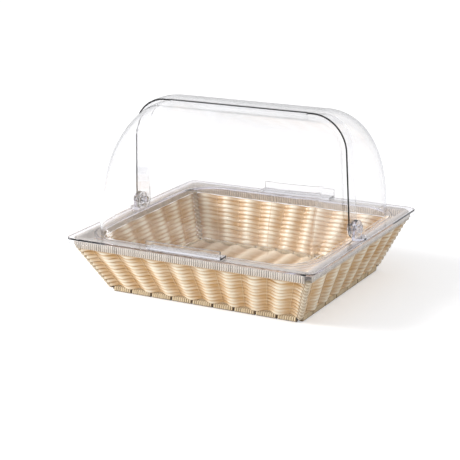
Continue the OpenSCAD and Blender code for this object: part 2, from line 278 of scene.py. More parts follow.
def mould_flow() -> bpy.types.NodeTree:
    """The faint waviness and handling haze of moulded clear plastic.

    Returns:
        The node group. It reads object coordinates.
    """
    shader, ports = new_group(
        "mould_flow",
        {"Wave size": (VALUE, 18.0), "Clean": (VALUE, 0.02), "Haze": (VALUE, 0.06)},
        {"Height": VALUE, "Roughness": VALUE},
    )
    smear_from, smear_gain = 0.52, 4.0
    place = shader.node("TexCoord").outputs["Object"]
    wave = shader.node("TexNoise")
    shader.put(wave.inputs["Vector"], place)
    shader.put(wave.inputs["Scale"], ports["Wave size"])
    wave.inputs["Detail"].default_value = 1.0
    smear = shader.noise(place, 9.0, 4.0)
    patch = shader.math("MULTIPLY", shader.math("SUBTRACT", smear, smear_from), smear_gain, clamp=True)
    rough = shader.math("ADD", ports["Clean"], shader.math("MULTIPLY", patch, ports["Haze"]))
    return close_group(shader, {"Height": wave.outputs["Fac"], "Roughness": rough})


def worn_coat() -> bpy.types.NodeTree:
    """Colour and gloss of coated wire: dust and rubbed spots.

    Returns:
        The node group. It reads object coordinates.
    """
    shader, ports = new_group(
        "worn_coat",
        {"Coat": (COLOR, (0.05, 0.04, 0.035, 1)), "Rubbed": (COLOR, (0.2, 0.17, 0.14, 1))},
        {"Color": COLOR, "Height": VALUE, "Roughness": VALUE},
    )
    spots_per_metre, rub_gain = 260.0, 2.5
    coat_rough, rub_rough = 0.35, 0.25
    place = shader.node("TexCoord").outputs["Object"]
    spots = shader.noise(place, spots_per_metre, 4.0)
    share = shader.math("MULTIPLY", shader.math("SUBTRACT", spots, MIDDLE), rub_gain, clamp=True)
    color = shader.mix(share, ports["Coat"], ports["Rubbed"])
    rough = shader.math("ADD", shader.math("MULTIPLY", share, rub_rough), coat_rough)
    return close_group(shader, {"Color": color, "Height": spots, "Roughness": rough})


class Effect(Enum):
    """The shared shader effects, each built once."""

    STRAND = "strand_tone"
    MOULD = "mould_flow"
    COAT = "worn_coat"


EFFECT_MAKERS: dict[Effect, Callable[[], bpy.types.NodeTree]] = {
    Effect.STRAND: strand_tone,
    Effect.MOULD: mould_flow,
    Effect.COAT: worn_coat,
}


def effect(kind: Effect) -> bpy.types.NodeTree:
    """The node group of an effect, built at its first use."""
    return bpy.data.node_groups.get(kind.value) or EFFECT_MAKERS[kind]()


def bump(shader: Shader, height: object, depth: float) -> bpy.types.NodeSocket:
    """A normal from a height.

    Args:
        shader: Where the bump goes.
        height: The height's output.
        depth: What a height of 1 measures, in metres.

    Returns:
        The normal's output socket.
    """
    made = shader.node("Bump")
    made.inputs["Strength"].default_value = 1.0
    made.inputs["Distance"].default_value = depth
    shader.put(made.inputs["Height"], height)
    return made.outputs["Normal"]


@dataclass(frozen=True)
class StrandFinish:
    """Satin extruded strand or wrapping strip."""

    name: str
    light: tuple[float, float, float]
    deep: tuple[float, float, float]
    # how far the painted highlight and shade of the crest attribute moves the colour
    crest_gain: float
    strand_gain: float
    coat: float = 0.25
    coat_roughness: float = 0.22
    grain_depth: float = 0.00012
    specular: float = 0.28

    def material(self) -> bpy.types.Material:
        """Builds the material.

        Returns:
            The material, ready to be given to a mesh.
        """
        made, shader = new_material(self.name)
        tone = shader.node("Group", node_tree=effect(Effect.STRAND))
        shader.put(tone.inputs["Light"], self.light)
        shader.put(tone.inputs["Deep"], self.deep)
        tone.inputs["Crest gain"].default_value = self.crest_gain
        tone.inputs["Strand gain"].default_value = self.strand_gain
        surface = shader.node("BsdfPrincipled")
        shader.put(surface.inputs["Base Color"], tone.outputs["Color"])
        shader.put(surface.inputs["Roughness"], tone.outputs["Roughness"])
        shader.put(surface.inputs["Normal"], bump(shader, tone.outputs["Height"], self.grain_depth))
        surface.inputs["Specular IOR Level"].default_value = self.specular
        surface.inputs["Coat Weight"].default_value = self.coat
        surface.inputs["Coat Roughness"].default_value = self.coat_roughness
        shader.close(surface.outputs[0])
        return made


@dataclass(frozen=True)
class ClearFinish:
    """Clear moulded plastic, tinted along its long paths, with painted shade where it is seen edge-on."""

    name: str
    tint: tuple[float, float, float]
    density: float
    # painted shade: the colour the surface takes where it is seen edge-on, and how tightly that hugs the
    # outline
    edge: tuple[float, float, float]
    edge_power: float = 5.0
    ior: float = 1.5
    wave_depth: float = 0.00004
    shadow: tuple[float, float, float] = (0.985, 0.985, 0.985)

    def material(self) -> bpy.types.Material:
        """Builds the material.

        Returns:
            The material, ready to be given to a mesh.
        """
        made, shader = new_material(self.name)
        flow = shader.node("Group", node_tree=effect(Effect.MOULD))
        surface = shader.node("BsdfPrincipled")
        # painted shade: the colour turns to the edge tint where the surface is seen edge-on, standing in
        # for the dark outlines of the plastic
        grazing = shader.node("LayerWeight").outputs["Facing"]
        painted_outline_share = shader.math("POWER", grazing, self.edge_power)
        shader.put(surface.inputs["Base Color"], shader.mix(painted_outline_share, (1, 1, 1), self.edge))
        surface.inputs["Transmission Weight"].default_value = 1.0
        surface.inputs["IOR"].default_value = self.ior
        shader.put(surface.inputs["Roughness"], flow.outputs["Roughness"])
        shader.put(surface.inputs["Normal"], bump(shader, flow.outputs["Height"], self.wave_depth))
        clear = shader.node("BsdfTransparent")
        shader.put(clear.inputs["Color"], self.shadow)
        path = shader.node("LightPath")
        through = shader.math("MAXIMUM", path.outputs["Is Shadow Ray"], path.outputs["Is Diffuse Ray"])
        choice = shader.node("MixShader")
        shader.put(choice.inputs[0], through)
        shader.put(choice.inputs[1], surface.outputs[0])
        shader.put(choice.inputs[2], clear.outputs[0])
        absorb = shader.node("VolumeAbsorption")
        shader.put(absorb.inputs["Color"], self.tint)
        absorb.inputs["Density"].default_value = self.density
        out = shader.close(choice.outputs[0])
        shader.put(out.inputs["Volume"], absorb.outputs[0])
        return made


@dataclass(frozen=True)
class WireFinish:
    """Dark coated wire."""

    name: str
    coat: tuple[float, float, float]
    rubbed: tuple[float, float, float]
    spot_depth: float = 0.00003

    def material(self) -> bpy.types.Material:
        """Builds the material.

        Returns:
            The material, ready to be given to a mesh.
        """
        made, shader = new_material(self.name)
        wear = shader.node("Group", node_tree=effect(Effect.COAT))
        shader.put(wear.inputs["Coat"], self.coat)
        shader.put(wear.inputs["Rubbed"], self.rubbed)
        surface = shader.node("BsdfPrincipled")
        shader.put(surface.inputs["Base Color"], wear.outputs["Color"])
        shader.put(surface.inputs["Roughness"], wear.outputs["Roughness"])
        shader.put(surface.inputs["Normal"], bump(shader, wear.outputs["Height"], self.spot_depth))
        shader.close(surface.outputs[0])
        return made


# Painted light: each strand finish mixes its deep and light colours partly by the crest attribute, so deep
# stands for painted shade at strand edges, in dips and in wrap grooves, and light for painted highlight on
# bulges and ridges; grain and strand tone add random tone of the strands themselves.
WALL_STRAND = StrandFinish(
    "wall_strand", (1.0, 0.91, 0.74), (0.63, 0.385, 0.165), 1.05, 0.20, coat=0.14, coat_roughness=0.28
)
FLOOR_STRAND = StrandFinish("floor_strand", (0.94, 0.79, 0.60), (0.60, 0.39, 0.21), 0.90, 0.20, coat=0.05)
RIM_WRAP = StrandFinish("rim_wrap", (0.77, 0.69, 0.60), (0.13, 0.10, 0.075), 1.0, 0.2)
FOOT_WRAP = StrandFinish("foot_wrap", (0.88, 0.73, 0.50), (0.19, 0.11, 0.045), 1.0, 0.25)
POST_WRAP = StrandFinish("post_wrap", (0.80, 0.70, 0.55), (0.46, 0.34, 0.21), 0.85, 0.25)
STAKE_STRAND = StrandFinish("stake_strand", (0.92, 0.75, 0.52), (0.76, 0.55, 0.31), 0.6, 0.3)
COATED_WIRE = WireFinish("coated_wire", (0.10, 0.072, 0.052), (0.20, 0.15, 0.11))
# The clear finishes' edge colours are painted shade at their outlines.
SHELL_PLASTIC = ClearFinish("shell_plastic", (0.60, 0.61, 0.68), 36.0, (0.10, 0.10, 0.14), 8.5)
FRAME_PLASTIC = ClearFinish("frame_plastic", (0.62, 0.58, 0.74), 22.0, (0.72, 0.68, 0.80))
HANDLE_PLASTIC = ClearFinish("handle_plastic", (0.58, 0.58, 0.74), 18.0, (0.28, 0.28, 0.46), 6.0)
SMALL_PLASTIC = ClearFinish("small_plastic", (0.56, 0.55, 0.70), 32.0, (0.48, 0.46, 0.58), 4.0)


# ---------------------------------------------------------------- mesh helpers


@dataclass
class Pile:
    """Vertices and faces of many like tubes, gathered into one mesh."""

    points: list[np.ndarray] = field(default_factory=list)
    faces: list[np.ndarray] = field(default_factory=list)
    caps: list[list[int]] = field(default_factory=list)
    marks: dict[str, list[np.ndarray]] = field(default_factory=dict)
    count: int = 0

    def tube(self, rings: np.ndarray, **marks: np.ndarray) -> None:
        """Adds a closed tube.

        Args:
            rings: Points of each ring, as an array of rings by sides by 3, counter-clockwise seen
                from its end.
            marks: Attributes of its points, as arrays of rings by sides, with 3 more for a vector.
        """
        many, sides = rings.shape[:2]
        at = self.count + np.arange(many * sides).reshape(many, sides)
        after = np.roll(at, -1, axis=1)
        quads = np.stack([at[:-1], after[:-1], after[1:], at[1:]], axis=-1).reshape(-1, 4)
        self.points.append(rings.reshape(-1, 3))
        self.faces.append(quads)
        self.caps.append(at[0][::-1].tolist())
        self.caps.append(at[-1].tolist())
        for name, value in marks.items():
            tail = 3 if value.ndim == 3 else 1
            self.marks.setdefault(name, []).append(value.reshape(-1, tail))
        self.count += many * sides

    def object(self, name: str, material: bpy.types.Material) -> bpy.types.Object:
        """Makes one smooth object of all the tubes.

        Args:
            name: The object's name.
            material: Its material.

        Returns:
            The object, linked to the scene.
        """
        mesh = bpy.data.meshes.new(name)
        quads = [quad for block in self.faces for quad in block.tolist()]
        mesh.from_pydata(np.concatenate(self.points).tolist(), [], quads + self.caps)
        for label, blocks in self.marks.items():
            values = np.concatenate(blocks)
            kind, channel = ("FLOAT_VECTOR", "vector") if values.shape[1] == 3 else ("FLOAT", "value")
            layer = mesh.attributes.new(label, kind, "POINT")
            layer.data.foreach_set(channel, values.astype(np.float32).ravel())
        smooth = np.ones(len(mesh.polygons), dtype=bool)
        smooth[-len(self.caps):] = False
        mesh.polygons.foreach_set("use_smooth", smooth)
        mesh.materials.append(material)
        mesh.update()
        made = bpy.data.objects.new(name, mesh)
        bpy.context.collection.objects.link(made)
        return made


def rounded_loop(
    width: float, height: float, corner: float, per_corner: int
) -> tuple[np.ndarray, np.ndarray]:
    """The outline of a bar with rounded edges.

    Args:
        width: Size along the first axis.
        height: Size along the second axis.
        corner: Radius of its edges.
        per_corner: Points on each quarter round.

    Returns:
        The outline's points and its outward directions, counter-clockwise.
    """
    quarters = [quarter + step / (per_corner - 1) for quarter in range(4) for step in range(per_corner)]
    out = np.array([[math.cos(q * TURN / 4), math.sin(q * TURN / 4)] for q in quarters])
    signs = np.repeat(CORNER_SIGNS, per_corner, axis=0)
    middle = signs * np.array([width / 2 - corner, height / 2 - corner])
    return middle + corner * out, out


def smooth_ridge(share: np.ndarray) -> np.ndarray:
    """Height of a wrapped strip, from 0 between two turns to 1 at its middle.

    Args:
        share: Place across the turns, in turns.

    Returns:
        The height at each place.
    """
    place = np.abs(share - np.floor(share) - 0.5) * 2 / STRIP_SHARE
    return 1 - np.clip(place, 0, 1) ** 3


def strand_grain(along: np.ndarray, angle: np.ndarray, start: tuple[float, float]) -> np.ndarray:
    """Where the drawn grain is read on the points of one strand.

    Args:
        along: Place along the strand, as an array of rings by sides.
        angle: Angle of each side around the strand.
        start: Shift of the grain, around the strand and through it, so that no two strands match.

    Returns:
        Points of the grain, with a last axis of 3.
    """
    around = np.broadcast_to(angle / TURN * GRAIN_AROUND, along.shape)
    return np.stack([along / GRAIN_LENGTH, around + start[0], np.full(along.shape, start[1])], -1)


class Side(Enum):
    """The four sides of the basket, as quarter turns from the front."""

    front = 0
    right = 1
    rear = 2
    left = 3

    def place(self, across: np.ndarray, outward: np.ndarray, up: np.ndarray) -> np.ndarray:
        """Turns a side's own coordinates into the frame's.

        Args:
            across: Distance along the side, from its middle.
            outward: Distance from the basket's middle.
            up: Height over the table.

        Returns:
            Points with a last axis of 3.
        """
        across, outward, up = np.broadcast_arrays(across, outward, up)
        turn = self.value * TURN / 4
        x, y = across, -outward
        cos, sin = math.cos(turn), math.sin(turn)
        return np.stack([x * cos - y * sin, x * sin + y * cos, up], -1)


# ---------------------------------------------------------------- basket


@dataclass
class BasketPlan:
    """Where the basket's wires, walls and floor lie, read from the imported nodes."""

    cells_x: int = 9
    cells_y: int = 7

    def __post_init__(self) -> None:
        """Measures the hoops and the bindings."""
        foot_low, foot_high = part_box("foot_hoop")
        rim_low, rim_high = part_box("rim_hoop")
        self.foot_wire_r = (foot_high.z - foot_low.z) / 2
        self.rim_wire_r = (rim_high.z - rim_low.z) / 2
        self.foot_wire_z = (foot_high.z + foot_low.z) / 2
        self.rim_wire_z = (rim_high.z + rim_low.z) / 2
        self.foot_half = (foot_high.x - self.foot_wire_r, foot_high.y - self.foot_wire_r)
        self.rim_half = (rim_high.x - self.rim_wire_r, rim_high.y - self.rim_wire_r)
        self.wall_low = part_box("front_foot_binding")[1].z
        self.wall_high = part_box("front_rim_binding")[0].z

    def cells(self, side: Side) -> int:
        """Cells along a side."""
        return self.cells_y if side.value % 2 else self.cells_x

    def half_length(self, side: Side, up: np.ndarray) -> np.ndarray:
        """Half the length of a side's mid-plane at a height.

        Args:
            side: The side.
            up: Heights over the table.

        Returns:
            Distances from the side's middle to its corner.
        """
        return self._between(side.value % 2, up)

    def standoff(self, side: Side, up: np.ndarray) -> np.ndarray:
        """Distance of a side's mid-plane from the basket's middle at a height.

        Args:
            side: The side.
            up: Heights over the table.

        Returns:
            Distances from the basket's middle.
        """
        return self._between(1 - side.value % 2, up)

    def _between(self, axis: int, up: np.ndarray) -> np.ndarray:
        """Half size from hoop to hoop along an axis."""
        share = (np.asarray(up, float) - self.foot_wire_z) / (self.rim_wire_z - self.foot_wire_z)
        return self.foot_half[axis] + (self.rim_half[axis] - self.foot_half[axis]) * share

    def lean(self, side: Side) -> float:
        """How far a side leans out from upright.

        Args:
            side: The side.

        Returns:
            The angle in radians.
        """
        rise = self.rim_wire_z - self.foot_wire_z
        axis = 1 - side.value % 2
        return math.atan2(self.rim_half[axis] - self.foot_half[axis], rise)


@dataclass
class WovenWall:
    """One wall: rows of strands that pass outside one set of stakes and inside the other."""

    side: Side
    plan: BasketPlan
    rows: int = 11
    wave: float = 2.6 * MM
    thickness: float = 2.8 * MM
    fill: float = 1.07
    slack: float = 0.06
    post_gap: float = 3.4 * MM
    wave_spread: float = 0.08
    thickness_spread: float = 0.04
    lift_spread: float = 0.25 * MM
    # painted light and shade: the strand's lightness where it passes inward, how the painted shade gathers
    # at its upper and lower edges, and how sharp the painted highlight is
    inward_painted_light: float = 0.3
    edge_power: float = 1.8
    crest_power: float = 2.6
    grain_shift: tuple[float, float] = (13.7, 5.1)
    steps: int = 14
    sides: int = 12
    seed: int = 11

    def build(self, material: bpy.types.Material) -> bpy.types.Object:
        """Weaves the wall and lets it stand for its CAD node.

        Args:
            material: The strands' finish.

        Returns:
            The wall's object.
        """
        side = self.side
        rng = np.random.default_rng(self.seed + side.value)
        pile = Pile()
        for row in range(self.rows):
            self._weave_row(pile, row, rng)
        made = pile.object(f"{side.name}_wall_strands", material)
        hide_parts(f"{side.name}_weave")
        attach(made, "basket")
        LOG.info("%s: %d rows over %d cells", made.name, self.rows, self.plan.cells(side))
        return made

    def _weave_row(self, pile: Pile, row: int, rng: np.random.Generator) -> None:
        """Adds the strand of one row.

        Args:
            pile: Takes the strand.
            row: The row's number, from the foot.
            rng: Draws the row's small differences.
        """
        plan, side = self.plan, self.side
        cells, lean = plan.cells(side), plan.lean(side)
        pitch = (plan.wall_high - plan.wall_low) / math.cos(lean) / self.rows
        level = plan.wall_low + (row + 0.5) * pitch * math.cos(lean)
        corner = float(plan.half_length(side, level))
        ends = corner - self.post_gap
        share = np.linspace(-ends / corner / 2, ends / corner / 2, cells * self.steps + 1)
        borders = np.linspace(-0.5, 0.5, cells + 1)
        wobble = np.interp(share, borders, rng.uniform(-1, 1, cells + 1))
        lift = np.interp(share, borders, rng.uniform(-1, 1, cells + 1))
        phase = np.cos(TURN * (share * cells + cells / 2))
        offset = phase * self.wave * (1 + self.wave_spread * wobble)
        along = share * 2 * corner
        tangent = np.gradient(offset, along)
        stretch = np.hypot(1, tangent)
        half_t = self.thickness / 2 * (1 + self.thickness_spread * rng.uniform(-1, 1))
        angle = np.arange(self.sides) / self.sides * TURN
        facing = np.cos(angle)
        show = np.where(facing[None, :] > 0, 0.5 + phase[:, None] / 2, 0.5 - phase[:, None] / 2)
        half_h = pitch * (self.fill - self.slack * (1 - show)) / 2
        across_t = half_t * facing
        up_h = half_h * np.sin(angle)[None, :]
        n = offset[:, None] + across_t[None, :] / stretch[:, None]
        x = along[:, None] - across_t[None, :] * (tangent / stretch)[:, None]
        h = up_h + (self.lift_spread * lift)[:, None]
        z = level + h * math.cos(lean) - n * math.sin(lean)
        out = plan.standoff(side, level) + h * math.sin(lean) + n * math.cos(lean)
        grain = strand_grain(x, angle, (row * self.grain_shift[0], row * self.grain_shift[1]))
        pile.tube(
            side.place(x, out, z)[:, ::-1],
            crest=self._painted_light(show, np.abs(facing))[:, ::-1],
            strand=np.full(x.shape, rng.uniform()),
            grain=grain[:, ::-1],
        )

    def _painted_light(self, show: np.ndarray, edge: np.ndarray) -> np.ndarray:
        """Painted highlight and shade of a strand: lightest where it bulges out and on the middle of its
        face, painted shade at its upper and lower edges and where it passes inward.

        Args:
            show: How far each point lies out of the weave, from 0 to 1.
            edge: How far each side faces away from the strand's upper and lower edges, from 0 to 1.

        Returns:
            The lightness of each point.
        """
        hidden = 1 - show
        # painted shade at the strand's upper and lower edges, deeper where it passes inward
        painted_edge_shade = (1 - edge[None, :] ** self.edge_power) * (1 + hidden) / 2
        return ((self.inward_painted_light + (1 - self.inward_painted_light) * show) * (1 - painted_edge_shade)) ** self.crest_power


@dataclass
class StakeRods:
    """The walls' rods of one set: those at the cells' borders, or those at their middles."""

    plan: BasketPlan
    node: str
    shift: float
    offset: float
    width: float = 0.9 * MM
    tone: float = 0.5
    rings: int = 6
    sides: int = 6

    def build(self, material: bpy.types.Material) -> bpy.types.Object:
        """Builds the rods, which stand for their CAD node.

        Args:
            material: Their finish.

        Returns:
            The rods' object.
        """
        low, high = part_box(self.node)
        pile = Pile()
        angle = np.arange(self.sides) / self.sides * TURN
        levels = np.linspace(low.z + self.width / 2, high.z - self.width / 2, self.rings)
        count = 0
        for side in Side:
            cells = self.plan.cells(side)
            lean = self.plan.lean(side)
            for place in np.arange(1 - self.shift, cells, 1.0):
                middle = (place / cells * 2 - 1) * self.plan.half_length(side, levels)
                n = self.offset + np.cos(angle)[None, :] * self.width / 2
                x = middle[:, None] + np.sin(angle)[None, :] * self.width / 2
                out = self.plan.standoff(side, levels)[:, None] + n * math.cos(lean)
                rings = side.place(x, out, levels[:, None] - n * math.sin(lean))
                around = np.broadcast_to(angle, x.shape)
                grain = np.stack([rings[..., 2] / GRAIN_LENGTH, around, np.full(x.shape, count)], -1)
                tone = np.full(x.shape, self.tone)
                pile.tube(rings, crest=tone, strand=tone, grain=grain)
                count += 1
        made = pile.object(f"{self.node}_rods", material)
        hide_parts(self.node)
        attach(made, "basket")
        LOG.info("%s: %d rods", made.name, count)
        return made


@dataclass
class WovenFloor:
    """The floor: rows from side to side that rise over its stakes."""

    plan: BasketPlan
    wave: float = 1.9 * MM
    thickness: float = 2.4 * MM
    pitch: float = 6.6 * MM
    fill: float = 0.98
    wave_spread: float = 0.12
    grain_shift: tuple[float, float] = (7.3, 3.3)
    steps: int = 12
    sides: int = 8
    seed: int = 5

    def build(self, material: bpy.types.Material) -> bpy.types.Object:
        """Weaves the floor and lets it stand for its CAD node.

        Args:
            material: The strands' finish.

        Returns:
            The floor's object.
        """
        low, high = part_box("floor_weave")
        rng = np.random.default_rng(self.seed)
        cells = self.plan.cells_x
        rows = round((high.y - low.y) / self.pitch)
        pitch = (high.y - low.y) / rows
        middle = (low.z + high.z) / 2
        pile = Pile()
        angle = np.arange(self.sides) / self.sides * TURN
        x_line = np.linspace(low.x, high.x, cells * self.steps + 1)
        cell = (x_line - low.x) / (high.x - low.x) * cells
        for row in range(rows):
            wobble = np.interp(cell, np.arange(cells + 1), rng.uniform(-1, 1, cells + 1))
            offset = self.wave * np.cos(TURN * cell) * (1 + self.wave_spread * wobble)
            tangent = np.gradient(offset, x_line)
            stretch = np.hypot(1, tangent)
            across_t = self.thickness / 2 * np.cos(angle)
            up_h = pitch * self.fill / 2 * np.sin(angle)
            z = middle + offset[:, None] + across_t[None, :] / stretch[:, None]
            x = x_line[:, None] - across_t[None, :] * (tangent / stretch)[:, None]
            y = low.y + (row + 0.5) * pitch + np.broadcast_to(up_h[None, :], x.shape)
            # painted light: floor strands are drawn lighter where they rise over a stake and darker where
            # they dip
            crest = np.broadcast_to((offset / self.wave * 0.5 + 0.5)[:, None], x.shape)
            grain = strand_grain(x, angle, (row * self.grain_shift[0], row * self.grain_shift[1]))
            tone = np.full(x.shape, rng.uniform())
            pile.tube(np.stack([x, y, z], -1), crest=crest, strand=tone, grain=grain)
        made = pile.object("floor_strands", material)
        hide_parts("floor_weave")
        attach(made, "basket")
        LOG.info("%s: %d rows", made.name, rows)
        return made


@dataclass
class Wrapping:
    """Strip wound round a straight bar, as one tube whose surface rises with each turn."""

    pitch: float = 3.47 * MM
    ridge: float = 0.9 * MM
    starts: int = 3
    per_turn: int = 8
    per_corner: int = 6
    # painted contact shadow: how much darker the strip is drawn towards the bar's lower edge, and where
    # that starts and how far it spreads
    painted_low_shade: float = 0.0
    low_shade_from: float = 0.45
    low_shade_over: float = 0.35
    grain_around: float = 6
    grain_shift: tuple[float, float] = (2.0, 3.7)

    def wind(
        self,
        pile: Pile,
        start: Sequence[float],
        end: Sequence[float],
        size: tuple[float, float],
        edge: float,
        up: Sequence[float],
        seed: int,
    ) -> None:
        """Winds the strip over one stretch.

        Args:
            pile: Takes the tube.
            start: The bar's axis at one end.
            end: The bar's axis at the other end.
            size: Outside thickness and height of the wrapped bar.
            edge: Radius of its edges.
            up: The direction of its height.
            seed: Start of the turns' tones.
        """
        a, b = Vector(start), Vector(end)
        length = (b - a).length
        ahead = (b - a) / length
        raise_dir = (Vector(up) - ahead * ahead.dot(Vector(up))).normalized()
        aside = raise_dir.cross(ahead)
        loop, out = rounded_loop(size[0], size[1], edge, self.per_corner)
        turns = max(2, round(length / self.pitch))
        along = np.linspace(0, length, turns * self.per_turn + 1)
        around = np.arange(len(loop)) / len(loop)
        phase = along[:, None] / length * turns + around[None, :] * self.starts
        height = smooth_ridge(phase) * self.ridge - self.ridge
        flat = loop[None] + out[None] * height[..., None]
        axis = np.array(list(a))[None, None] + along[:, None, None] * np.array(list(ahead))[None, None]
        rings = axis + flat @ np.array([list(aside), list(raise_dir)])
        tones = np.random.default_rng(seed).uniform(0, 1, turns + self.starts + 1)
        turn_no = np.floor(phase).astype(int)
        across = np.broadcast_to(around * self.grain_around, phase.shape)
        grain = np.stack([across, phase * self.grain_shift[0], turn_no * self.grain_shift[1]], -1)
        # painted contact shadow: the strip is drawn darker towards the bar's lower edge, where it meets the
        # table
        low_down = np.clip((-loop[:, 1] / (size[1] / 2) - self.low_shade_from) / self.low_shade_over, 0, 1)
        # painted light: lightest on the middle of each turn, painted shade in the grooves between turns
        crest = smooth_ridge(phase) * (1 - self.painted_low_shade * low_down[None, :])
        pile.tube(rings, crest=crest, strand=tones[turn_no], grain=grain)


@dataclass
class Binding:
    """The wrapped bar along one side of the rim or of the foot."""

    side: Side
    plan: BasketPlan
    level: str
    wrapping: Wrapping
    stake_gap: float = 0.0
    reach: float = 2.0 * MM
    edge_share: float = 0.32
    seed_step: int = 31

    def build(self, material: bpy.types.Material) -> bpy.types.Object:
        """Wraps the bar and lets it stand for its CAD node.

        Args:
            material: The strip's finish.

        Returns:
            The binding's object.
        """
        node = f"{self.side.name}_{self.level}_binding"
        low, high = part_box(node)
        sideways = self.side.value % 2
        half = (high.y if sideways else high.x) + self.reach
        thick = (high.x - low.x) if sideways else (high.y - low.y)
        tall = high.z - low.z
        middle = abs(low.x + high.x) / 2 if sideways else abs(low.y + high.y) / 2
        up = (low.z + high.z) / 2
        cells = self.plan.cells(self.side)
        corner = float(self.plan.half_length(self.side, self.plan.foot_wire_z))
        stops = [-half]
        if self.stake_gap:
            for count in range(1, cells):
                at = (count / cells * 2 - 1) * corner
                stops += [at - self.stake_gap / 2, at + self.stake_gap / 2]
        stops.append(half)
        pile = Pile()
        for number in range(0, len(stops), 2):
            start, end = (self.side.place(stop, middle, up) for stop in stops[number:number + 2])
            seed = self.seed_step * number + self.side.value
            self.wrapping.wind(pile, start, end, (thick, tall), thick * self.edge_share, (0, 0, 1), seed)
        made = pile.object(f"{node}_wrap", material)
        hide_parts(node)
        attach(made, "basket")
        LOG.info("%s: %d stretches", made.name, len(stops) // 2)
        return made


@dataclass
class CornerPosts:
    """The four wrapped posts from foot to rim, over their wires."""

    plan: BasketPlan
    wrapping: Wrapping
    width: float = 8.0 * MM
    wire: float = 4.0 * MM
    round_share: float = 0.499
    foot_cut: float = 0.4
    rim_cut: float = 0.6
    wire_inset: float = 0.3
    sides: int = 12
    seed: int = 97

    def build(self, wrap: bpy.types.Material, wire: bpy.types.Material) -> None:
        """Builds the wraps, which stand for the CAD node, and the wires that show at their ends.

        Args:
            wrap: The strip's finish.
            wire: The wire's finish.
        """
        plan = self.plan
        wraps, wires = Pile(), Pile()
        low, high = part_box("corner_posts")
        inset = self.wire * self.wire_inset
        for number, (sx, sy) in enumerate(CORNER_SIGNS):
            foot = Vector((sx * plan.foot_half[0], sy * plan.foot_half[1], plan.foot_wire_z))
            rim = Vector((sx * plan.rim_half[0], sy * plan.rim_half[1], plan.rim_wire_z))
            along = (rim - foot).normalized()
            tilt = self.width / 2 * math.hypot(along.x, along.y)
            wrap_low = plan.foot_wire_z + plan.foot_wire_r + tilt * self.foot_cut
            wrap_high = plan.rim_wire_z - plan.rim_wire_r - tilt * self.rim_cut
            start, end, wire_start, wire_end = (
                foot + along * ((level - foot.z) / along.z)
                for level in (wrap_low, wrap_high, low.z + inset, high.z - inset)
            )
            edge = self.width * self.round_share
            size = (self.width, self.width)
            self.wrapping.wind(wraps, start, end, size, edge, (0, 0, 1), self.seed + number)
            self._wire(wires, wire_start, wire_end)
        made = wraps.object("corner_post_wraps", wrap)
        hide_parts("corner_posts")
        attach(made, "basket")
        core = wires.object("corner_post_wires", wire)
        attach(core, "basket")
        LOG.info("%s and %s", made.name, core.name)

    def _wire(self, pile: Pile, start: Vector, end: Vector) -> None:
        """Adds one straight wire.

        Args:
            pile: Takes the wire.
            start: One end of its axis.
            end: The other end of its axis.
        """
        ahead = (end - start).normalized()
        aside = ahead.orthogonal().normalized()
        over = ahead.cross(aside)
        angle = np.arange(self.sides) / self.sides * TURN
        ring = np.outer(np.cos(angle), aside) + np.outer(np.sin(angle), over)
        rings = np.stack([np.array(start) + ring * self.wire / 2, np.array(end) + ring * self.wire / 2])
        pile.tube(rings)


@dataclass
class Basket:
    """The woven basket: walls, floor, bindings, posts, stakes and hoops."""

    plan: BasketPlan
    stake_gap: float = 3.0 * MM
    rod_offset: float = 1.0 * MM
    rim_strip: Wrapping = field(default_factory=Wrapping)
    # the foot strip is drawn darker along its lower edge, a painted contact shadow at the table
    foot_strip: Wrapping = field(default_factory=lambda: Wrapping(starts=2, painted_low_shade=1.0))
    post_strip: Wrapping = field(
        default_factory=lambda: Wrapping(7.1 * MM, ridge=1.3 * MM, starts=1, per_turn=12, per_corner=5)
    )

    def build(self) -> None:
        """Builds every piece of the basket and dresses the nodes that stay."""
        strand = WALL_STRAND.material()
        wire = COATED_WIRE.material()
        for side in Side:
            WovenWall(side, self.plan).build(strand)
        WovenFloor(self.plan).build(FLOOR_STRAND.material())
        rim_wrap, foot_wrap = RIM_WRAP.material(), FOOT_WRAP.material()
        for side in Side:
            Binding(side, self.plan, "rim", self.rim_strip).build(rim_wrap)
            Binding(side, self.plan, "foot", self.foot_strip, self.stake_gap).build(foot_wrap)
        CornerPosts(self.plan, self.post_strip).build(POST_WRAP.material(), wire)
        stake = STAKE_STRAND.material()
        StakeRods(self.plan, "outer_stakes", 0.0, self.rod_offset).build(stake)
        StakeRods(self.plan, "inner_stakes", 0.5, -self.rod_offset).build(stake)
        dress(["floor_stakes", "rim_hoop", "foot_hoop"], wire)


# ---------------------------------------------------------------- cover


def dress(nodes: Sequence[str], material: bpy.types.Material) -> None:
    """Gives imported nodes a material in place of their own.

    Args:
        nodes: The nodes' names.
        material: Their new material.
    """
    for name in nodes:
        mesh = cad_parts[name].data
        mesh.materials.clear()
        mesh.materials.append(material)
        LOG.info("%s: %s", name, material.name)


